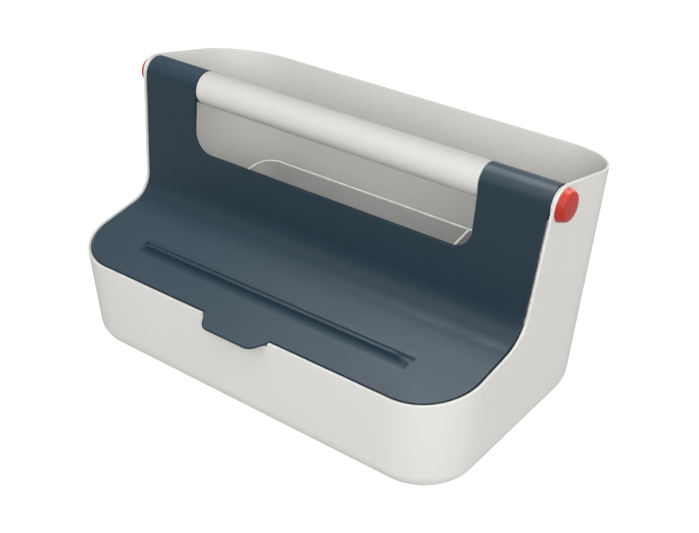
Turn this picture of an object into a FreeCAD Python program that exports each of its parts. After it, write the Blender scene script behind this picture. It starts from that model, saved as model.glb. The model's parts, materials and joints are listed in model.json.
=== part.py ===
import FreeCAD, Part
import os
import math

V = FreeCAD.Vector
os.makedirs("parts", exist_ok=True)

# ---------------------------------------------------------------------------
# Driving dimensions, mm. Everything is built about the pivot axis
# (x along the grip, y to the back, z up, axis at y = 0, z = 0) and moved to
# the bottom centre of the whole at the end.
# ---------------------------------------------------------------------------
AXIS_H = 183.0          # pivot axis above the table
ARM_R = 12.95           # outer radius of the lid's arms and of the grip

# tub
WALL_T = 2.2            # wall thickness
FLOOR_T = 2.6           # floor thickness
OUT_HALF_W = 182.5      # outer half length at axis height
SIDE_DRAFT = 0.0625     # half length lost per mm of height
OUT_BACK_Y = 100.44     # back wall, outside, at axis height
BACK_DRAFT = 0.0448
OUT_FRONT_Y = -121.0    # front wall, outside, at axis height
FRONT_DRAFT = 0.0435
R_BACK_0 = 48.85        # back plan corner radius at axis height
R_BACK_K = -0.0058       # and its change per mm of height
R_FRONT_0 = 47.9        # front plan corner radius at axis height
R_FRONT_K = 0.0336
BASE_FILLET = 16.0      # outside edge at the table
RIM_ROUND = 0.75        # edge rounding along the rim
RIM_FALL = 0.2208       # back part of the rim falls towards the back
RIM_PROUD = 0.25        # rim stands this far beyond the lid's face, front and sides
RIM_PROUD_B = 1.0       # and at the back of the arms
RIM_ARC_R = 13.5        # rim curve over the arms
CAP_HOLE_R = 6.05       # hole for the cap's spigot

# lid
LID_T = 2.8             # lid thickness
LID_GAP = 1.2           # side gap between lid and tub
LID_ROUND = 0.45        # edge rounding of the visible outline
LID_UNDER = 1.75        # undercut of the lid's edge, so it swings clear of the rim
UP_LEAN = 0.1355        # upright leans forward, rad
BEND_R = 23.3           # concave bend, visible face
LEAF_FALL = 0.1626      # front leaf falls to the front, rad
LEAF_Y = -113.9         # front edge of the leaf
LEAF_Z = -107.5         # its height below the axis
HOOK_END = -30.0        # arm's hook ends here, degrees from +y
ARM_END_X = 179.15      # outer ends of the arms
ARM_IN_X = 126.7        # inner ends of the arms, sides of the handle opening
OPEN_Z = -46.4          # bottom edge of the handle opening
OPEN_R = 16.5           # its bottom corners
WEB_T = 2.6             # webs that close the arms
WEB_OUT_X = 172.0       # outer web, inner face
RIDGE_HALF = 124.5      # device ridge, half length at its foot
RIDGE_RAMP = 9.5        # length of its sloping ends
RIDGE_Y = -82.3         # ridge top, back edge
RIDGE_H = 6.0           # ridge height over the leaf
GROOVE_W = 11.5         # groove behind the ridge
GROOVE_D = 2.4
GROOVE_BACK = 1.8       # lid left under the groove
TAB_HALF = 30.3         # pull tab half width at its root
TAB_TIP_HALF = 22.0
TAB_LEN = 12.7          # in line with the leaf, beyond LEAF_Y
TAB_T = 2.1
TAB_R = 9.0
NOTCH_HALF = 30.9       # notch in the front rim for the tab
NOTCH_GAP = 0.55

# grip and pivot
GRIP_R = 12.9
GRIP_BORE_R = 10.2
GRIP_HALF = 125.9
ROD_R = 4.0
BUSH_BORE_R = 4.04
BUSH_R = 6.0
BUSH_FLANGE_R = 8.0
BUSH_FLANGE_T = 1.0
PLUG_LEN = 16.0
CAP_R = 11.85           # at the wall
CAP_TAPER = 0.30        # side leans in, rad
CAP_ROUND = 2.3         # edge between side and top
CAP_TOP_R = 62.0        # slightly domed top
CAP_H = 6.3             # beyond the wall at axis height
CAP_SPIGOT_R = 6.0
PAD_R = 12.0            # flat pad inside the wall that the arm's end turns against
PAD_X = 179.5
STOP_IN_R = 7.0         # open stop, lug radii
STOP_OUT_R = 9.7
STOP_HALF = 12.0        # lug half width, degrees
LID_OPEN = 150.0        # opening angle, degrees

# tray
TRAY_HALF = 152.0       # half length at the rim
TRAY_BACK_Y = 90.4      # back rim
TRAY_FRONT_Y = -88.0    # front rim
TRAY_BACK_Z = -100.0    # rim height at the back
TRAY_FALL = 0.19        # rim falls to the front
TRAY_T = 1.8
TRAY_FLOOR_T = 2.0
TRAY_R = 18.0
TRAY_FOOT_R = 14.0      # outside edge of the tray's floor
TRAY_DRAFT = 0.045
TRAY_LIFT = 0.35        # air under the tray
DIV_X = 60.0            # divider
DIV_T = 1.8
DIV_GAP = 0.35
GUIDE_T = 1.6

FLOOR_TOP = -AXIS_H + FLOOR_T


# ---------------------------------------------------------------------------
# helpers
# ---------------------------------------------------------------------------
def rounded_wire(hx0, y0, y1, rf, rb, z):
    """Rounded rectangle at height z: x from -hx0 to hx0, y0 front, y1 back."""
    k = math.sqrt(0.5)
    pts = []
    corners = [(hx0 - rf, y0 + rf, rf, 1, -1), (hx0 - rb, y1 - rb, rb, 1, 1),
               (-hx0 + rb, y1 - rb, rb, -1, 1), (-hx0 + rf, y0 + rf, rf, -1, -1)]
    edges = []
    ends = []
    for cx, cy, r, sx, sy in corners:
        if (sx, sy) in ((1, -1), (-1, 1)):
            a = V(cx, cy + sy * r, z)
            b = V(cx + sx * r, cy, z)
        else:
            a = V(cx + sx * r, cy, z)
            b = V(cx, cy + sy * r, z)
        m = V(cx + sx * r * k, cy + sy * r * k, z)
        ends.append((a, m, b))
    for i in range(4):
        a, m, b = ends[i]
        edges.append(Part.Arc(a, m, b).toShape())
        n = ends[(i + 1) % 4][0]
        edges.append(Part.LineSegment(b, n).toShape())
    return Part.Wire(edges)


def tub_section(z, inset):
    """Tub section at height z, moved in from the outer face by inset."""
    hw = OUT_HALF_W + SIDE_DRAFT * z - inset
    yb = OUT_BACK_Y + BACK_DRAFT * z - inset
    yf = OUT_FRONT_Y - FRONT_DRAFT * z + inset
    rb = R_BACK_0 + R_BACK_K * z - inset
    rf = R_FRONT_0 + R_FRONT_K * z - inset
    return rounded_wire(hw, yf, yb, rf, rb, z)


def tub_block(z0, z1, inset):
    return Part.makeLoft([tub_section(z0, inset), tub_section(z1, inset)], True, True)


def yz_prism(edges, x0, x1):
    """Closed profile in the y-z plane, extruded along x."""
    w = Part.Wire(Part.__sortEdges__(edges))
    f = Part.Face(w)
    f.translate(V(x0, 0, 0))
    return f.extrude(V(x1 - x0, 0, 0))


def line(a, b):
    return Part.LineSegment(V(0, a[0], a[1]), V(0, b[0], b[1])).toShape()


def arc(a, m, b):
    return Part.Arc(V(0, a[0], a[1]), V(0, m[0], m[1]), V(0, b[0], b[1])).toShape()


def x_cyl(r, x0, x1, y=0.0, z=0.0):
    return Part.makeCylinder(r, x1 - x0, V(x0, y, z), V(1, 0, 0))


def mirror_x(s):
    return s.mirror(V(0, 0, 0), V(1, 0, 0))


def one_solid(s):
    s = s.removeSplitter()
    if s.ShapeType != "Solid" and len(s.Solids) == 1:
        s = s.Solids[0]
    return s


def try_fillet(s, r, pick):
    """Round the edges that pick() accepts; the solid comes back unrounded if
    the kernel can't."""
    es = [e for e in s.Edges if pick(e)]
    if not es:
        print("no edges for fillet", r)
        return s
    try:
        t = s.makeFillet(r, es)
        if t.isValid() and len(t.Solids) == 1 and t.Volume > 0:
            return one_solid(t)
        print("fillet not valid", r, len(es))
    except Exception as err:
        print("fillet failed", r, len(es), err)
    return s


# ---------------------------------------------------------------------------
# lid profile: face curve, and the same curve moved by an offset to its outside
# ---------------------------------------------------------------------------
N_UP = (-math.cos(UP_LEAN), math.sin(UP_LEAN))        # outward, upright
D_UP = (-math.sin(UP_LEAN), -math.cos(UP_LEAN))       # down the upright
D_LEAF = (-math.cos(LEAF_FALL), -math.sin(LEAF_FALL))  # to the front
N_LEAF = (-math.sin(LEAF_FALL), math.cos(LEAF_FALL))   # outward, leaf


def add(p, d, k):
    return (p[0] + d[0] * k, p[1] + d[1] * k)


def profile_points(off):
    """Points of the face curve moved outwards by off."""
    t = add((0.0, 0.0), N_UP, ARM_R + off)
    f = add((LEAF_Y, LEAF_Z), N_LEAF, off)
    # crossing of the upright and the leaf
    det = D_UP[0] * (-D_LEAF[1]) - (-D_LEAF[0]) * D_UP[1]
    bx, bz = f[0] - t[0], f[1] - t[1]
    k = (bx * (-D_LEAF[1]) - (-D_LEAF[0]) * bz) / det
    i = add(t, D_UP, k)
    up = (-D_UP[0], -D_UP[1])
    cosa = up[0] * D_LEAF[0] + up[1] * D_LEAF[1]
    ang = math.acos(cosa)
    r = BEND_R - off
    tl = r / math.tan(ang / 2.0)
    a = add(i, up, tl)
    b = add(i, D_LEAF, tl)
    bis = (up[0] + D_LEAF[0], up[1] + D_LEAF[1])
    n = math.hypot(*bis)
    bis = (bis[0] / n, bis[1] / n)
    c = add(i, bis, r / math.sin(ang / 2.0))
    m = add(c, bis, -r)
    return t, a, m, b, f


def leaf_z(y):
    """Height of the leaf's face at y."""
    return LEAF_Z + (y - LEAF_Y) * math.tan(LEAF_FALL)


# ---------------------------------------------------------------------------
# tub
# ---------------------------------------------------------------------------
Z_TOP = 24.0
outer = tub_block(-AXIS_H, Z_TOP, 0.0)
base_edges = [e for e in outer.Edges if e.BoundBox.ZMax < -AXIS_H + 0.01]
outer = outer.makeFillet(BASE_FILLET, base_edges)
inner = tub_block(FLOOR_TOP, Z_TOP + 5.0, WALL_T)
in_edges = [e for e in inner.Edges if e.BoundBox.ZMax < FLOOR_TOP + 0.01]
inner = inner.makeFillet(BASE_FILLET - WALL_T, in_edges)

# region below the rim line, seen from the side
rt, ra, rm, rb_, rf_ = profile_points(RIM_PROUD)
slope = math.atan(RIM_FALL)
n_back = (math.sin(slope), math.cos(slope))
# centre of the rim curve: touches the back line and the upright's rim line
o_b = ARM_R + RIM_PROUD_B - RIM_ARC_R
o_u = ARM_R + RIM_PROUD - RIM_ARC_R
_d = n_back[0] * N_UP[1] - n_back[1] * N_UP[0]
RIM_C = ((o_b * N_UP[1] - n_back[1] * o_u) / _d, (n_back[0] * o_u - o_b * N_UP[0]) / _d)
t_back = add(RIM_C, n_back, RIM_ARC_R)                        # tangent points
t_up = add(RIM_C, N_UP, RIM_ARC_R)
y_far = 130.0
z_far = t_back[1] - (y_far - t_back[0]) * RIM_FALL
mid_ang = 0.5 * ((math.pi / 2 - slope) + (math.pi - UP_LEAN))
r_mid = (RIM_C[0] + RIM_ARC_R * math.cos(mid_ang), RIM_C[1] + RIM_ARC_R * math.sin(mid_ang))
f_far = add(rf_, D_LEAF, 30.0)
keep = yz_prism([
    line((y_far, z_far), t_back),
    arc(t_back, r_mid, t_up),
    line(t_up, ra), arc(ra, rm, rb_), line(rb_, f_far),
    line(f_far, (f_far[0], -AXIS_H - 20)),
    line((f_far[0], -AXIS_H - 20), (y_far, -AXIS_H - 20)),
    line((y_far, -AXIS_H - 20), (y_far, z_far)),
], -200.0, 200.0)

tub = outer.cut(inner).common(keep)
tub = one_solid(tub)

# rounding along the rim, before the notch breaks the line
n_rim = RIM_ROUND


def on_rim(e):
    """Edges of the cut face: inner and outer rim lines."""
    n = 0
    for k in (0.1, 0.3, 0.5, 0.7, 0.9):
        p = e.valueAt(e.FirstParameter + k * (e.LastParameter - e.FirstParameter))
        y, z = p.y, p.z
        d = []
        d.append(abs(z - (t_back[1] - (y - t_back[0]) * RIM_FALL)))
        d.append(abs(math.hypot(y - RIM_C[0], z - RIM_C[1]) - RIM_ARC_R))
        d.append(abs((y - rt[0]) * N_UP[0] + (z - rt[1]) * N_UP[1]))
        d.append(abs((y - rf_[0]) * N_LEAF[0] + (z - rf_[1]) * N_LEAF[1]))
        cy, cz = bend_c
        d.append(abs(math.hypot(y - cy, z - cz) - (BEND_R - RIM_PROUD)))
        if min(d) < 0.003:
            n += 1
    return n == 5 and e.Length > 3.0


_t, _a, _m, _b, _f = profile_points(0.0)
# centre of the bend
_mx = (_a[0] + _b[0]) / 2.0 - _m[0]
_mz = (_a[1] + _b[1]) / 2.0 - _m[1]
_n = math.hypot(_mx, _mz)
bend_c = (_m[0] + _mx / _n * BEND_R, _m[1] + _mz / _n * BEND_R)

tub = try_fillet(tub, RIM_ROUND, on_rim)

# notch for the tab in the front rim
tab_tip = add(_f, D_LEAF, TAB_LEN)
y_out = OUT_FRONT_Y - FRONT_DRAFT * LEAF_Z
z_under = leaf_z(y_out) - TAB_T / math.cos(LEAF_FALL)
NOTCH_Z = z_under - NOTCH_GAP
R_N = 1.1
R_FL = 1.5              # rounding where the rim turns down into the notch
zt = LEAF_Z + 12.0
z_rim = rf_[1] + (y_out + WALL_T / 2 - rf_[0]) * math.tan(LEAF_FALL) + 0.45
k = math.sqrt(0.5)
h = NOTCH_HALF
ne = [
    Part.LineSegment(V(-h - R_FL, 0, zt), V(-h - R_FL, 0, z_rim)).toShape(),
    Part.Arc(V(-h - R_FL, 0, z_rim), V(-h - R_FL * (1 - k), 0, z_rim - R_FL * (1 - k)),
             V(-h, 0, z_rim - R_FL)).toShape(),
    Part.LineSegment(V(-h, 0, z_rim - R_FL), V(-h, 0, NOTCH_Z + R_N)).toShape(),
    Part.Arc(V(-h, 0, NOTCH_Z + R_N), V(-h + R_N * (1 - k), 0, NOTCH_Z + R_N * (1 - k)),
             V(-h + R_N, 0, NOTCH_Z)).toShape(),
    Part.LineSegment(V(-h + R_N, 0, NOTCH_Z), V(h - R_N, 0, NOTCH_Z)).toShape(),
    Part.Arc(V(h - R_N, 0, NOTCH_Z), V(h - R_N * (1 - k), 0, NOTCH_Z + R_N * (1 - k)),
             V(h, 0, NOTCH_Z + R_N)).toShape(),
    Part.LineSegment(V(h, 0, NOTCH_Z + R_N), V(h, 0, z_rim - R_FL)).toShape(),
    Part.Arc(V(h, 0, z_rim - R_FL), V(h + R_FL * (1 - k), 0, z_rim - R_FL * (1 - k)),
             V(h + R_FL, 0, z_rim)).toShape(),
    Part.LineSegment(V(h + R_FL, 0, z_rim), V(h + R_FL, 0, zt)).toShape(),
    Part.LineSegment(V(h + R_FL, 0, zt), V(-h - R_FL, 0, zt)).toShape(),
]
nf = Part.Face(Part.Wire(ne))
nf.translate(V(0, -130, 0))
tub = tub.cut(nf.extrude(V(0, 30, 0)))

# square pads for the arms' ends, holes for the caps' spigots, and the fixed
# half of the opening stop
pad = x_cyl(PAD_R, PAD_X, OUT_HALF_W - WALL_T + 1.2)
tub = tub.fuse(pad).fuse(mirror_x(pad))
tub = tub.cut(x_cyl(CAP_HOLE_R, -200, 200))


def sector(r0, r1, a_mid, half, x0, x1):
    """Ring sector about the axis; angles in degrees from +y towards +z."""
    a0 = math.radians(a_mid - half)
    a1 = math.radians(a_mid + half)
    am = math.radians(a_mid)

    def p(r, a):
        return (r * math.cos(a), r * math.sin(a))
    return yz_prism([
        line(p(r0, a0), p(r1, a0)), arc(p(r1, a0), p(r1, am), p(r1, a1)),
        line(p(r1, a1), p(r0, a1)), arc(p(r0, a1), p(r0, am), p(r0, a0)),
    ], x0, x1)


LUG_A = 90.0                                     # lid lug, closed
FIX_A = LUG_A - LID_OPEN - 2 * STOP_HALF - 1.2   # fixed lug
lug_fix = sector(STOP_IN_R, STOP_OUT_R, FIX_A, STOP_HALF, 176.3, 181.4)
tub = tub.fuse(lug_fix).fuse(mirror_x(lug_fix))
tub = one_solid(tub)

# ---------------------------------------------------------------------------
# lid
# ---------------------------------------------------------------------------
it, ia, im_, ib, if_ = profile_points(-LID_T)
r_in = ARM_R - LID_T
a_end = math.radians(HOOK_END)
a_t = math.pi - UP_LEAN
a_m = 0.5 * (a_end + a_t)


def pol(r, a):
    return (r * math.cos(a), r * math.sin(a))


f_o = add(_f, D_LEAF, 15.0)
f_i = add(if_, D_LEAF, 15.0)
skin = yz_prism([
    arc(pol(ARM_R, a_end), pol(ARM_R, a_m), _t),
    line(_t, _a), arc(_a, _m, _b), line(_b, f_o),
    line(f_o, f_i), line(f_i, ib), arc(ib, im_, ia), line(ia, it),
    arc(it, pol(r_in, a_m), pol(r_in, a_end)),
    line(pol(r_in, a_end), pol(ARM_R, a_end)),
], -200.0, 200.0)
envelope = tub_block(-AXIS_H + 20.0, Z_TOP, WALL_T + LID_GAP)
skin = one_solid(skin.common(envelope))


def on_face(e):
    """Edges that lie on the lid's visible face curve, not along x."""
    if e.Length < 1.5:
        return False
    n = 0
    for q in (0.1, 0.3, 0.5, 0.7, 0.9):
        p = e.valueAt(e.FirstParameter + q * (e.LastParameter - e.FirstParameter))
        y, z = p.y, p.z
        d = [abs(math.hypot(y, z) - ARM_R) if z > -2.0 or y > 0 else 9.0,
             abs((y - _t[0]) * N_UP[0] + (z - _t[1]) * N_UP[1]),
             abs((y - _f[0]) * N_LEAF[0] + (z - _f[1]) * N_LEAF[1]),
             abs(math.hypot(y - bend_c[0], z - bend_c[1]) - BEND_R)]
        if min(d) < 0.003:
            n += 1
    if n < 5:
        return False
    # leave out the smooth lines where the face curve's pieces meet
    a = e.valueAt(e.FirstParameter)
    b = e.valueAt(e.LastParameter)
    straight_x = abs(a.y - b.y) < 1e-4 and abs(a.z - b.z) < 1e-4
    if straight_x:
        return abs(a.z - OPEN_Z) < 0.6 or a.y < LEAF_Y + 1.0
    return True


# rounding of the lid's visible outline
skin = try_fillet(skin, LID_ROUND, on_face)



def on_under(e):
    """Edges of the leaf's underside outline, without those along x at the back."""
    if e.Length < 1.5 or e.BoundBox.ZMin > LEAF_Z + 30.0:
        return False
    for q in (0.1, 0.3, 0.5, 0.7, 0.9):
        p = e.valueAt(e.FirstParameter + q * (e.LastParameter - e.FirstParameter))
        if abs((p.y - if_[0]) * N_LEAF[0] + (p.z - if_[1]) * N_LEAF[1]) > 0.003:
            return False
    a = e.valueAt(e.FirstParameter)
    b = e.valueAt(e.LastParameter)
    if abs(a.y - b.y) < 1e-4 and abs(a.z - b.z) < 1e-4:
        return a.y < LEAF_Y + 6.0
    return True


def try_chamfer(s, r, pick):
    es = [e for e in s.Edges if pick(e)]
    try:
        t = s.makeChamfer(r, es)
        if t.isValid() and len(t.Solids) == 1 and t.Volume > 0:
            return one_solid(t)
        print("chamfer not valid", r, len(es))
    except Exception as err:
        print("chamfer failed", r, len(es), err)
    return s


skin = try_chamfer(skin, LID_UNDER, on_under)

# arms' outer ends are square to the axis, so they can turn between the walls
skin = skin.common(Part.makeBox(2 * ARM_END_X, 300, 300, V(-ARM_END_X, -200, -200)))

# handle opening
h = ARM_IN_X
oe = [
    Part.LineSegment(V(-h, 0, 30), V(-h, 0, OPEN_Z + OPEN_R)).toShape(),
    Part.Arc(V(-h, 0, OPEN_Z + OPEN_R),
             V(-h + OPEN_R * (1 - k), 0, OPEN_Z + OPEN_R * (1 - k)),
             V(-h + OPEN_R, 0, OPEN_Z)).toShape(),
    Part.LineSegment(V(-h + OPEN_R, 0, OPEN_Z), V(h - OPEN_R, 0, OPEN_Z)).toShape(),
    Part.Arc(V(h - OPEN_R, 0, OPEN_Z),
             V(h - OPEN_R * (1 - k), 0, OPEN_Z + OPEN_R * (1 - k)),
             V(h, 0, OPEN_Z + OPEN_R)).toShape(),
    Part.LineSegment(V(h, 0, OPEN_Z + OPEN_R), V(h, 0, 30)).toShape(),
    Part.LineSegment(V(h, 0, 30), V(-h, 0, 30)).toShape(),
]
of_ = Part.Face(Part.Wire(oe))
of_.translate(V(0, -60, 0))
skin = skin.cut(of_.extrude(V(0, 100, 0)))

# rounding of the handle opening
skin = one_solid(skin)
skin = try_fillet(skin, LID_ROUND, lambda e: on_face(e) and e.BoundBox.XMax < ARM_IN_X + 0.01
                  and e.BoundBox.XMin > -ARM_IN_X - 0.01 and e.BoundBox.ZMin > -80)

# pull tab: goes on in line with the leaf, narrows to a rounded tip
root = add(_f, D_LEAF, -7.0)
t_far = add(tab_tip, D_LEAF, 4.0)
tab_prof = yz_prism([
    line(root, t_far), line(t_far, add(t_far, N_LEAF, -TAB_T)),
    line(add(t_far, N_LEAF, -TAB_T), add(root, N_LEAF, -TAB_T)),
    line(add(root, N_LEAF, -TAB_T), root),
], -40.0, 40.0)
y_tip = tab_tip[0]
yr = root[0] - 0.5
ww = TAB_HALF
wt = TAB_TIP_HALF
plan = [V(-ww, yr, 0), V(-ww, LEAF_Y, 0), V(-wt, y_tip, 0), V(wt, y_tip, 0),
        V(ww, LEAF_Y, 0), V(ww, yr, 0), V(-ww, yr, 0)]
pf = Part.Face(Part.makePolygon(plan))
pf.translate(V(0, 0, -140))
pp = pf.extrude(V(0, 0, 60))
for rr, y_e in ((TAB_R, y_tip), (5.0, LEAF_Y)):
    pp = pp.makeFillet(rr, [e for e in pp.Edges
                            if abs(e.Vertexes[0].Point.z - e.Vertexes[-1].Point.z) > 50
                            and abs(e.Vertexes[0].Point.y - y_e) < 0.01
                            and abs(e.Vertexes[-1].Point.y - y_e) < 0.01])
tab = one_solid(tab_prof.common(pp))


def tab_rim(e):
    """Edges of the tab's top and bottom outline, without the root."""
    if e.BoundBox.YMin > yr - 0.01:
        return False
    for off in (0.0, -TAB_T):
        n = 0
        for q in (0.1, 0.5, 0.9):
            p = e.valueAt(e.FirstParameter + q * (e.LastParameter - e.FirstParameter))
            if abs((p.y - _f[0]) * N_LEAF[0] + (p.z - _f[1]) * N_LEAF[1] - off) < 0.003:
                n += 1
        if n == 3:
            return True
    return False


tab = try_fillet(tab, 0.6, tab_rim)

# device ridge, profile in the leaf's own directions: u to the back, w outwards
r0 = (RIDGE_Y, leaf_z(RIDGE_Y))
U = (math.cos(LEAF_FALL), math.sin(LEAF_FALL))
W_ = N_LEAF


def uw(u, w):
    return (r0[0] + U[0] * u + W_[0] * w, r0[1] + U[1] * u + W_[1] * w)


H = RIDGE_H
ridge = yz_prism([
    line(uw(-6.9, -0.4), uw(-6.9, 0.0)),
    arc(uw(-6.9, 0.0), uw(-3.5, 1.6), uw(-2.0, H - 0.9)),
    arc(uw(-2.0, H - 0.9), uw(-1.83, H - 0.55), uw(-1.45, H - 0.36)),
    line(uw(-1.45, H - 0.36), uw(-0.25, H - 0.04)),
    arc(uw(-0.25, H - 0.04), uw(0.06, H - 0.12), uw(0.2, H - 0.45)),
    line(uw(0.2, H - 0.45), uw(0.6, -GROOVE_D - 0.5)),
    line(uw(0.6, -GROOVE_D - 0.5), uw(-3.0, -GROOVE_D - 0.5)),
    line(uw(-3.0, -GROOVE_D - 0.5), uw(-6.9, -0.4)),
], -RIDGE_HALF - 5, RIDGE_HALF + 5)
# sloping ends
rk = RIDGE_RAMP / H
ramp_pts = [(-RIDGE_HALF - 2.2 * rk, -2.2), (-RIDGE_HALF + (H + 1.0) * rk, H + 1.0),
            (RIDGE_HALF - (H + 1.0) * rk, H + 1.0), (RIDGE_HALF + 2.2 * rk, -2.2)]
rp = [V(x, r0[0] + W_[0] * w, r0[1] + W_[1] * w) for x, w in ramp_pts]
rp.append(rp[0])
rfce = Part.Face(Part.makePolygon(rp))
rfce.translate(V(0, -U[0] * 15, -U[1] * 15))
ridge = ridge.common(rfce.extrude(V(0, U[0] * 30, U[1] * 30)))
# groove behind it: flat bottom, sloping back wall with a rounded shoulder
groove = yz_prism([
    line(uw(0.3, 0.8), uw(0.3, -GROOVE_D)),
    line(uw(0.3, -GROOVE_D), uw(4.6, -GROOVE_D)),
    arc(uw(4.6, -GROOVE_D), uw(5.6, -GROOVE_D + 0.3), uw(6.4, -GROOVE_D + 0.95)),
    line(uw(6.4, -GROOVE_D + 0.95), uw(7.3, -0.6)),
    arc(uw(7.3, -0.6), uw(9.2, 0.22 - 0.5), uw(GROOVE_W, 0.08)),
    line(uw(GROOVE_W, 0.08), uw(GROOVE_W, 0.8)),
    line(uw(GROOVE_W, 0.8), uw(0.3, 0.8)),
], -RIDGE_HALF - 8, RIDGE_HALF + 8)
gp_pts = [(-RIDGE_HALF - 1.6, 0.9), (-RIDGE_HALF - 0.2, -GROOVE_D - 0.1),
          (RIDGE_HALF + 0.2, -GROOVE_D - 0.1), (RIDGE_HALF + 1.6, 0.9)]
gp = [V(x, r0[0] + W_[0] * w, r0[1] + W_[1] * w) for x, w in gp_pts]
gp.append(gp[0])
gfce = Part.Face(Part.makePolygon(gp))
gfce.translate(V(0, -U[0] * 5, -U[1] * 5))
groove = groove.common(gfce.extrude(V(0, U[0] * 40, U[1] * 40)))

# raised strip under the leaf that keeps the groove's bottom thick enough
g_b = -GROOVE_D - GROOVE_BACK
strip = yz_prism([
    line(uw(-4.5, -LID_T + 0.6), uw(-2.6, g_b)), line(uw(-2.6, g_b), uw(7.6, g_b)),
    line(uw(7.6, g_b), uw(11.5, -LID_T + 0.6)), line(uw(11.5, -LID_T + 0.6), uw(-4.5, -LID_T + 0.6)),
], -RIDGE_HALF - 4.0, RIDGE_HALF + 4.0)

lid = skin.fuse(tab).fuse(strip).cut(groove).fuse(ridge)

# webs that close the arms, with the bush seats, and the moving stop lugs
for sgn in (1, -1):
    adds = [x_cyl(ARM_R, ARM_IN_X, ARM_IN_X + WEB_T),
            x_cyl(ARM_R - 0.01, WEB_OUT_X, WEB_OUT_X + WEB_T),
            sector(STOP_IN_R, STOP_OUT_R, LUG_A, STOP_HALF, WEB_OUT_X + WEB_T - 0.5, 178.3)]
    for s in adds:
        lid = lid.fuse(s if sgn > 0 else mirror_x(s))
lid = lid.cut(x_cyl(BUSH_R, -200, 200))
lid = one_solid(lid)

# ---------------------------------------------------------------------------
# grip, rod, plugs, bushes, caps
# ---------------------------------------------------------------------------
grip = x_cyl(GRIP_R, -GRIP_HALF, GRIP_HALF).cut(x_cyl(GRIP_BORE_R, -200, 200))
grip = grip.makeFillet(0.5, [e for e in grip.Edges if abs(e.Length - 2 * math.pi * GRIP_R) < 0.5
                             and abs(abs(e.CenterOfMass.x) - GRIP_HALF) < 0.01])
grip = one_solid(grip)

wall_x = OUT_HALF_W - WALL_T
CAP_X = OUT_HALF_W + 0.75
ROD_END = CAP_X + 1.6
rod = x_cyl(ROD_R, -ROD_END, ROD_END)
rod = rod.makeChamfer(0.5, [e for e in rod.Edges if abs(abs(e.CenterOfMass.x) - ROD_END) < 0.01
                            and abs(e.Length - 2 * math.pi * ROD_R) < 0.1])


def make_plug():
    x1 = GRIP_HALF
    p = x_cyl(GRIP_BORE_R, x1 - PLUG_LEN, x1 - 0.4)
    hollow = x_cyl(GRIP_BORE_R - 2.2, x1 - PLUG_LEN - 1, x1 - 3.2).cut(
        x_cyl(ROD_R + 2.0, x1 - PLUG_LEN - 2, x1))
    return one_solid(p.cut(hollow).cut(x_cyl(ROD_R, 0, 200)))


def make_bush(x_web0, x_web1, flange_side):
    b = x_cyl(BUSH_R, x_web0, x_web1)
    if flange_side > 0:
        b = b.fuse(x_cyl(BUSH_FLANGE_R, x_web1, x_web1 + BUSH_FLANGE_T))
    else:
        b = b.fuse(x_cyl(BUSH_FLANGE_R, x_web0 - BUSH_FLANGE_T, x_web0))
    return one_solid(b.cut(x_cyl(BUSH_BORE_R, 0, 300)))


def make_cap():
    """Round button on the wall with a spigot through it."""
    d = CAP_H
    r = CAP_R
    x0 = OUT_HALF_W
    xb = x0 - 1.5
    # edge rounding: circle inside the domed top, tangent to it and to the side
    rs = CAP_TOP_R
    re = CAP_ROUND
    cx = x0 + d - rs
    dx_, dr_ = math.cos(CAP_TAPER), -math.sin(CAP_TAPER)   # up the side
    nx_, nr_ = math.sin(CAP_TAPER), math.cos(CAP_TAPER)    # out of the side
    qx, qr = x0 - nx_ * re - cx, r - nr_ * re
    b_ = qx * dx_ + qr * dr_
    c_ = qx * qx + qr * qr - (rs - re) ** 2
    sl = -b_ + math.sqrt(b_ * b_ - c_)
    ec = (x0 - nx_ * re + dx_ * sl, r - nr_ * re + dr_ * sl)
    a_e = math.atan2(ec[1], ec[0] - cx)
    p1 = (ec[0] + re * math.cos(a_e), ec[1] + re * math.sin(a_e))
    p_mid = (cx + rs * math.cos(a_e / 2.0), rs * math.sin(a_e / 2.0))
    a_s = math.pi / 2.0 - CAP_TAPER
    am = 0.5 * (a_e + a_s)
    p_edge = (ec[0] + re * math.cos(am), ec[1] + re * math.sin(am))
    p_side = (ec[0] + re * math.cos(a_s), ec[1] + re * math.sin(a_s))
    r = r + (x0 - xb) * math.tan(CAP_TAPER)
    e = [
        Part.LineSegment(V(xb, 0, 0), V(xb, r, 0)).toShape(),
        Part.LineSegment(V(xb, r, 0), V(p_side[0], p_side[1], 0)).toShape(),
        Part.Arc(V(p_side[0], p_side[1], 0), V(p_edge[0], p_edge[1], 0), V(p1[0], p1[1], 0)).toShape(),
        Part.Arc(V(p1[0], p1[1], 0), V(p_mid[0], p_mid[1], 0), V(x0 + d, 0, 0)).toShape(),
        Part.LineSegment(V(x0 + d, 0, 0), V(xb, 0, 0)).toShape(),
    ]
    dome = Part.Face(Part.Wire(e)).revolve(V(0, 0, 0), V(1, 0, 0), 360)
    # the skirt's end follows the sloping wall
    dome = dome.cut(tub_block(-60.0, 40.0, -0.04))
    c = dome.fuse(x_cyl(CAP_SPIGOT_R, wall_x - 2.6, x0 + 1.5))
    return one_solid(c.cut(x_cyl(ROD_R, 100, ROD_END + 0.3)))


plug_r = make_plug()
bush_ri = make_bush(ARM_IN_X, ARM_IN_X + WEB_T, 1)
bush_ro = make_bush(WEB_OUT_X, WEB_OUT_X + WEB_T, -1)
cap_r = make_cap()

# ---------------------------------------------------------------------------
# tray and divider
# ---------------------------------------------------------------------------
TRAY_Z0 = FLOOR_TOP + TRAY_LIFT


def tray_section(z, inset):
    dz = (TRAY_BACK_Z - z) * TRAY_DRAFT
    return rounded_wire(TRAY_HALF - dz - inset, TRAY_FRONT_Y + dz + inset,
                        TRAY_BACK_Y - dz - inset, TRAY_R - inset, TRAY_R - inset, z)


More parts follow.
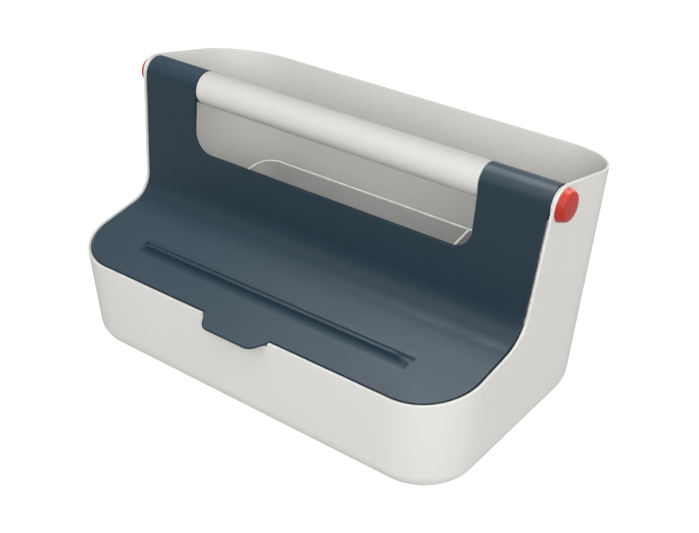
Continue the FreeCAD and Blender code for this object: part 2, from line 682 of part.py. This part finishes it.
t_out = Part.makeLoft([tray_section(TRAY_Z0, 0.0), tray_section(TRAY_BACK_Z + 8, 0.0)], True, True)
t_out = t_out.makeFillet(TRAY_FOOT_R, [e for e in t_out.Edges if e.BoundBox.ZMax < TRAY_Z0 + 0.01])
t_in = Part.makeLoft([tray_section(TRAY_Z0 + TRAY_FLOOR_T, TRAY_T),
                      tray_section(TRAY_BACK_Z + 12, TRAY_T)], True, True)
t_in = t_in.makeFillet(TRAY_FOOT_R - TRAY_T, [e for e in t_in.Edges if e.BoundBox.ZMax < TRAY_Z0 + TRAY_FLOOR_T + 0.01])


def tray_rim(y):
    return TRAY_BACK_Z + (y - TRAY_BACK_Y) * TRAY_FALL


below = yz_prism([
    line((110, tray_rim(110)), (-110, tray_rim(-110))),
    line((-110, tray_rim(-110)), (-110, -AXIS_H - 5)),
    line((-110, -AXIS_H - 5), (110, -AXIS_H - 5)),
    line((110, -AXIS_H - 5), (110, tray_rim(110))),
], -170.0, 170.0)
tray = one_solid(t_out.cut(t_in).common(below))

# guides that hold the divider at the back and front walls
g_edges = []
tray_floor = TRAY_Z0 + TRAY_FLOOR_T
guides = []
for s in (1, -1):
    gx0 = DIV_X + s * (DIV_T / 2 + DIV_GAP)
    gx1 = gx0 + s * GUIDE_T
    xa, xb = min(gx0, gx1), max(gx0, gx1)
    guides.append(Part.makeBox(xb - xa, 12, 40, V(xa, TRAY_BACK_Y - 10, tray_floor - 0.5)))
    guides.append(Part.makeBox(xb - xa, 12, 20, V(xa, TRAY_FRONT_Y - 2, tray_floor - 0.5)))
t_core = Part.makeLoft([tray_section(TRAY_Z0 + 0.5, TRAY_T * 0.5),
                        tray_section(TRAY_BACK_Z + 8, TRAY_T * 0.5)], True, True)
t_core = t_core.makeFillet(TRAY_FOOT_R - TRAY_T * 0.5,
                           [e for e in t_core.Edges if e.BoundBox.ZMax < TRAY_Z0 + 0.51])
for g in guides:
    tray = tray.fuse(g.common(t_core))
tray = one_solid(tray)

# divider: plate between the tray's walls, its top in line with the rim
d_in = Part.makeLoft([tray_section(tray_floor + DIV_GAP, TRAY_T + DIV_GAP),
                      tray_section(TRAY_BACK_Z + 12, TRAY_T + DIV_GAP)], True, True)
d_in = d_in.makeFillet(TRAY_FOOT_R - TRAY_T - DIV_GAP,
                       [e for e in d_in.Edges if e.BoundBox.ZMax < tray_floor + DIV_GAP + 0.01])
plate = Part.makeBox(DIV_T, 220, 120, V(DIV_X - DIV_T / 2, -110, tray_floor))
divider = plate.common(d_in).common(below)
divider = one_solid(divider)

# ---------------------------------------------------------------------------
# place on the table, bottom centre of the whole at the origin
# ---------------------------------------------------------------------------
nodes = [
    ("bin_shell", tub),
    ("lid_panel", lid),
    ("grip_tube", grip),
    ("axle_rod", rod),
    ("grip_plug_right", plug_r),
    ("grip_plug_left", mirror_x(plug_r)),
    ("hinge_bush_right_inner", bush_ri),
    ("hinge_bush_right_outer", bush_ro),
    ("hinge_bush_left_inner", mirror_x(bush_ri)),
    ("hinge_bush_left_outer", mirror_x(bush_ro)),
    ("pivot_cap_right", cap_r),
    ("pivot_cap_left", mirror_x(cap_r)),
    ("organiser_tray", tray),
    ("tray_divider", divider),
]
y_lo = min(s.optimalBoundingBox(False).YMin for _, s in nodes)
y_hi = max(s.optimalBoundingBox(False).YMax for _, s in nodes)
Y_SHIFT = -round((y_lo + y_hi) / 2.0, 3)
move = V(0, Y_SHIFT, AXIS_H)
for name, s in nodes:
    s.translate(move)
    bb = s.optimalBoundingBox(False)
    print("%-24s %s solids %d valid %s vol %.0f  x %.2f..%.2f y %.2f..%.2f z %.2f..%.2f" % (
        name, s.ShapeType, len(s.Solids), s.isValid(), s.Volume,
        bb.XMin, bb.XMax, bb.YMin, bb.YMax, bb.ZMin, bb.ZMax))
    s.exportStep("parts/%s.step" % name)
print("axis at y %.3f z %.3f" % (Y_SHIFT, AXIS_H))
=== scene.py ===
import bpy
import json
import math
from mathutils import Vector, Matrix

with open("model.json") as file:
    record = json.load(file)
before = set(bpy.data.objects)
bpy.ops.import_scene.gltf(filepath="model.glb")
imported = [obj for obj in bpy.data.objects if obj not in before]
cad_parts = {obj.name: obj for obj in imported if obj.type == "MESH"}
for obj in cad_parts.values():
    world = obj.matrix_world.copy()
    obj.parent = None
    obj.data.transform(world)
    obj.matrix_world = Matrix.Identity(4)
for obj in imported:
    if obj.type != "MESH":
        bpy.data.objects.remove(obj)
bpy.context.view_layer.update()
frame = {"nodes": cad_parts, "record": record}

nodes = frame["nodes"]
scene = bpy.context.scene


# ---------------------------------------------------------------------------
# node helpers
# ---------------------------------------------------------------------------
def new_mat(name):
    m = bpy.data.materials.new(name)
    m.use_nodes = True
    nt = m.node_tree
    nt.nodes.clear()
    out = nt.nodes.new("ShaderNodeOutputMaterial")
    bsdf = nt.nodes.new("ShaderNodeBsdfPrincipled")
    nt.links.new(bsdf.outputs["BSDF"], out.inputs["Surface"])
    return m, nt, bsdf


def noise(nt, vec, scale, detail=3.0, rough=0.5):
    n = nt.nodes.new("ShaderNodeTexNoise")
    n.inputs["Scale"].default_value = scale
    n.inputs["Detail"].default_value = detail
    n.inputs["Roughness"].default_value = rough
    nt.links.new(vec, n.inputs["Vector"])
    return n.outputs["Fac"]


def ramp(nt, fac, stops):
    r = nt.nodes.new("ShaderNodeValToRGB")
    el = r.color_ramp.elements
    while len(el) < len(stops):
        el.new(0.5)
    for e, (p, c) in zip(el, stops):
        e.position = p
        e.color = (c[0], c[1], c[2], 1.0)
    nt.links.new(fac, r.inputs["Fac"])
    return r.outputs["Color"]


def map_range(nt, fac, a, b, c, d):
    n = nt.nodes.new("ShaderNodeMapRange")
    n.inputs["From Min"].default_value = a
    n.inputs["From Max"].default_value = b
    n.inputs["To Min"].default_value = c
    n.inputs["To Max"].default_value = d
    nt.links.new(fac, n.inputs["Value"])
    return n.outputs["Result"]


def mix_col(nt, fac, a, b, blend="MIX"):
    n = nt.nodes.new("ShaderNodeMix")
    n.data_type = "RGBA"
    n.blend_type = blend
    for sock, v in ((n.inputs[0], fac), (n.inputs[6], a), (n.inputs[7], b)):
        if hasattr(v, "is_output"):
            nt.links.new(v, sock)
        elif isinstance(v, tuple):
            sock.default_value = (v[0], v[1], v[2], 1.0)
        else:
            sock.default_value = v
    return n.outputs[2]


def math_node(nt, op, a, b=None):
    n = nt.nodes.new("ShaderNodeMath")
    n.operation = op
    for sock, v in ((n.inputs[0], a), (n.inputs[1], b)):
        if v is None:
            continue
        if hasattr(v, "is_output"):
            nt.links.new(v, sock)
        else:
            sock.default_value = v
    return n.outputs[0]


def edge_mask(nt, radius):
    """1 on edges within radius, 0 on open faces."""
    bev = nt.nodes.new("ShaderNodeBevel")
    bev.samples = 4
    bev.inputs["Radius"].default_value = radius
    geo = nt.nodes.new("ShaderNodeNewGeometry")
    dot = nt.nodes.new("ShaderNodeVectorMath")
    dot.operation = "DOT_PRODUCT"
    nt.links.new(bev.outputs["Normal"], dot.inputs[0])
    nt.links.new(geo.outputs["Normal"], dot.inputs[1])
    return map_range(nt, dot.outputs["Value"], 0.985, 0.80, 0.0, 1.0)


def plastic(name, base, tint_lo, tint_hi, rough, grain, grain_depth, spec, edge_wear_and_highlight_col=None, edge_amt=0.0,
            rough_var=0.06, edge_r=0.0009):
    """Moulded plastic: fine eroded grain, slow tone drift, rubbed spots that are a
    little smoother, and paler edges: wear on most parts, and on the tray's rim a
    painted highlight."""
    m, nt, bsdf = new_mat(name)
    tc = nt.nodes.new("ShaderNodeTexCoord")
    vec = tc.outputs["Object"]
    slow = noise(nt, vec, 9.0, 2.0)
    mid = noise(nt, vec, 60.0, 4.0, 0.6)
    fine = noise(nt, vec, grain, 3.0, 0.65)
    col = ramp(nt, slow, [(0.3, tint_lo), (0.5, base), (0.7, tint_hi)])
    speck = map_range(nt, fine, 0.35, 0.65, 0.975, 1.02)
    n = nt.nodes.new("ShaderNodeMix")
    n.data_type = "RGBA"
    n.blend_type = "MULTIPLY"
    n.inputs[0].default_value = 1.0
    nt.links.new(col, n.inputs[6])
    nt.links.new(speck, n.inputs[7])
    col = n.outputs[2]
    # paler edge band: wear on most parts; on the tray's rim it is a painted highlight
    if edge_wear_and_highlight_col is not None:
        em = edge_mask(nt, edge_r)
        wear_and_highlight_patch = map_range(nt, mid, 0.42, 0.68, 0.15, 1.0)
        fac = math_node(nt, "MULTIPLY", math_node(nt, "MULTIPLY", em, wear_and_highlight_patch), edge_amt)
        col = mix_col(nt, fac, col, edge_wear_and_highlight_col)
    nt.links.new(col, bsdf.inputs["Base Color"])
    r = map_range(nt, mid, 0.3, 0.7, rough - rough_var, rough + rough_var)
    nt.links.new(r, bsdf.inputs["Roughness"])
    bsdf.inputs["Specular IOR Level"].default_value = spec
    b1 = nt.nodes.new("ShaderNodeBump")
    b1.inputs["Strength"].default_value = 1.0
    b1.inputs["Distance"].default_value = grain_depth
    nt.links.new(fine, b1.inputs["Height"])
    nt.links.new(b1.outputs["Normal"], bsdf.inputs["Normal"])
    return m


MATS = {
    "pale_plastic": plastic("pale_plastic", (0.780, 0.770, 0.742), (0.767, 0.758, 0.730), (0.793, 0.782, 0.754),
                            0.46, 1700.0, 0.00003, 0.4, (0.80, 0.80, 0.785), 0.5),
    "slate_plastic": plastic("slate_plastic", (0.0116, 0.0310, 0.0485), (0.0110, 0.0295, 0.0462), (0.0122, 0.0325, 0.0508),
                             0.50, 1500.0, 0.00004, 0.45, (0.034, 0.062, 0.086), 0.2, rough_var=0.035),
    "grip_plastic": plastic("grip_plastic", (0.700, 0.691, 0.666), (0.689, 0.681, 0.656), (0.711, 0.702, 0.676),
                            0.42, 1900.0, 0.00002, 0.42, (0.80, 0.80, 0.785), 0.4),
    # the tray's rim: a wide near-white edge band, a painted highlight
    "tray_plastic": plastic("tray_plastic", (0.575, 0.571, 0.556), (0.563, 0.559, 0.544), (0.587, 0.583, 0.568),
                            0.45, 1700.0, 0.00003, 0.4, (0.95, 0.95, 0.94), 1.0, edge_r=0.0016),
    "red_plastic": plastic("red_plastic", (0.47, 0.021, 0.010), (0.445, 0.0195, 0.009), (0.495, 0.0225, 0.011),
                           0.44, 1500.0, 0.00001, 0.42, (0.58, 0.05, 0.035), 0.3),
    "bush_plastic": plastic("bush_plastic", (0.05, 0.05, 0.05), (0.045, 0.045, 0.045), (0.055, 0.055, 0.055),
                            0.35, 1500.0, 0.00001, 0.5),
}


def steel():
    m, nt, bsdf = new_mat("rod_steel")
    tc = nt.nodes.new("ShaderNodeTexCoord")
    mp = nt.nodes.new("ShaderNodeMapping")
    mp.inputs["Scale"].default_value = (6.0, 500.0, 500.0)
    nt.links.new(tc.outputs["Object"], mp.inputs["Vector"])
    n = noise(nt, mp.outputs["Vector"], 4.0, 3.0)
    nt.links.new(ramp(nt, n, [(0.3, (0.50, 0.51, 0.52)), (0.7, (0.60, 0.61, 0.62))]), bsdf.inputs["Base Color"])
    nt.links.new(map_range(nt, n, 0.3, 0.7, 0.22, 0.38), bsdf.inputs["Roughness"])
    bsdf.inputs["Metallic"].default_value = 1.0
    b = nt.nodes.new("ShaderNodeBump")
    b.inputs["Distance"].default_value = 0.00002
    nt.links.new(n, b.inputs["Height"])
    nt.links.new(b.outputs["Normal"], bsdf.inputs["Normal"])
    return m


MATS["rod_steel"] = steel()

for sp in frame["record"]["subparts"]:
    o = nodes[sp["node"]]
    o.data.materials.clear()
    o.data.materials.append(MATS[sp["material_slot"]])

# ---------------------------------------------------------------------------
# floor, light, camera
# ---------------------------------------------------------------------------
fm, fnt, fb = new_mat("floor_pale")
ftc = fnt.nodes.new("ShaderNodeTexCoord")
fn = noise(fnt, ftc.outputs["Object"], 3.0, 2.0)
fnt.links.new(ramp(fnt, fn, [(0.3, (0.80, 0.80, 0.80)), (0.7, (0.82, 0.82, 0.82))]), fb.inputs["Base Color"])
fb.inputs["Roughness"].default_value = 0.9
fb.inputs["Specular IOR Level"].default_value = 0.1
fb.inputs["Emission Color"].default_value = (1.0, 1.0, 1.0, 1.0)
flen = fnt.nodes.new("ShaderNodeVectorMath")
flen.operation = "LENGTH"
fnt.links.new(ftc.outputs["Object"], flen.inputs[0])
fnt.links.new(map_range(fnt, flen.outputs["Value"], 0.9, 2.2, 0.62, 1.0), fb.inputs["Emission Strength"])
me = bpy.data.meshes.new("floor")
s = 6.0
me.from_pydata([(-s, -s, 0), (s, -s, 0), (s, s, 0), (-s, s, 0)], [], [(0, 1, 2, 3)])
floor = bpy.data.objects.new("floor", me)
floor.location = (0, 0, -0.0002)
scene.collection.objects.link(floor)
me.materials.append(fm)
# the floor is there for the camera; the light from below is the world's lower half
floor.visible_diffuse = False
floor.visible_glossy = False

# pale wall far around, for low viewing angles
wm = bpy.data.meshes.new("backdrop")
ring = [(5.6 * math.cos(math.tau * i / 48), 5.6 * math.sin(math.tau * i / 48)) for i in range(48)]
wm.from_pydata([(x, y, -0.01) for x, y in ring] + [(x, y, 9.0) for x, y in ring], [],
               [(i, (i + 1) % 48, 48 + (i + 1) % 48, 48 + i) for i in range(48)])
backdrop = bpy.data.objects.new("backdrop", wm)
scene.collection.objects.link(backdrop)
wm.materials.append(fm)
for flag in ("visible_diffuse", "visible_glossy", "visible_transmission", "visible_shadow"):
    setattr(backdrop, flag, False)

world = bpy.data.worlds.new("studio")
scene.world = world
world.use_nodes = True
bg = world.node_tree.nodes.get("Background")
bg.inputs["Strength"].default_value = 1.0
wnt = world.node_tree
wtc = wnt.nodes.new("ShaderNodeTexCoord")
wsep = wnt.nodes.new("ShaderNodeSeparateXYZ")
wnt.links.new(wtc.outputs["Generated"], wsep.inputs["Vector"])
wnt.links.new(map_range(wnt, wsep.outputs["Z"], -0.15, 0.15, 0.62, 0.05), bg.inputs["Color"])


def area(name, loc, target, size, power, col=(1, 1, 1)):
    d = bpy.data.lights.new(name, "AREA")
    d.shape = "RECTANGLE"
    d.size, d.size_y = size
    d.energy = power
    d.color = col
    o = bpy.data.objects.new(name, d)
    o.location = loc
    o.rotation_euler = (Vector(target) - Vector(loc)).to_track_quat("-Z", "Y").to_euler()
    scene.collection.objects.link(o)
    return o


def around(az, el, dist):
    """Place on a sphere about the object: az 0 in front, 90 at its right."""
    a, e = math.radians(az), math.radians(el)
    return (dist * math.cos(e) * math.sin(a), -dist * math.cos(e) * math.cos(a), dist * math.sin(e) + 0.08)


MID = (0.0, 0.0, 0.1)


def softbox(name, loc, target, size, radiance):
    return area(name, loc, target, size, radiance * math.pi * size[0] * size[1])


softbox("key", around(40, 28, 2.1), MID, (1.2, 1.0), 6.6)
softbox("front_high", around(0, 62, 2.1), MID, (1.5, 0.8), 2.7)
softbox("front_mid", around(-20, 40, 2.1), MID, (1.5, 0.8), 2.2)
softbox("right_low", around(105, 14, 2.1), MID, (1.5, 0.8), 2.2)
softbox("right_mid", around(105, 40, 2.1), MID, (1.5, 0.8), 0.5)
softbox("top", (0.05, 0.15, 1.6), (0.05, 0.15, 0.0), (0.9, 0.9), 1.8)
softbox("left_low", around(-100, 12, 2.1), MID, (1.5, 0.8), 1.2)
softbox("back_low", around(180, 14, 2.1), MID, (1.5, 0.8), 3.2)


def only(light, name, names):
    """Let a panel light only the named pieces."""
    c = bpy.data.collections.new(name)
    for n in names:
        c.objects.link(nodes[n])
    light.light_linking.receiver_collection = c


# the satin lid, the caps and the tray's rim have overhead panels of their own
only(softbox("lid_top", (-0.28, 0.33, 1.45), (0.0, -0.05, 0.1), (0.5, 0.4), 24.0), "lit_by_lid_top", ("lid_panel",))
only(softbox("cap_top", (0.40, 0.80, 1.25), (0.19, 0.01, 0.18), (0.7, 0.5), 12.0), "lit_by_cap_top",
     ("pivot_cap_right", "pivot_cap_left"))
only(softbox("tray_top", (0.05, 0.16, 1.5), (0.05, 0.13, 0.1), (0.8, 0.2), 15.0), "lit_by_tray_top",
     ("organiser_tray", "tray_divider"))

cam_d = bpy.data.cameras.new("camera")
cam = bpy.data.objects.new("camera", cam_d)
scene.collection.objects.link(cam)
right = Vector((0.790536, 0.612415, 0.000115))
up = Vector((-0.317894, 0.410192, 0.854802))
fwd = Vector((-0.523446, 0.675788, -0.518955))
rot = Matrix((right, up, -fwd)).transposed()
cam.matrix_world = Matrix.Translation((0.486106, -0.600559, 0.544163)) @ rot.to_4x4()
cam_d.sensor_fit = "HORIZONTAL"
cam_d.sensor_width = 36.0
cam_d.lens = 1205.405 / 699.0 * 36.0
cam_d.shift_x = 0.0011
cam_d.shift_y = 0.0012
cam_d.clip_start = 0.01
cam_d.clip_end = 50.0
scene.camera = cam
scene.view_settings.view_transform = "Standard"
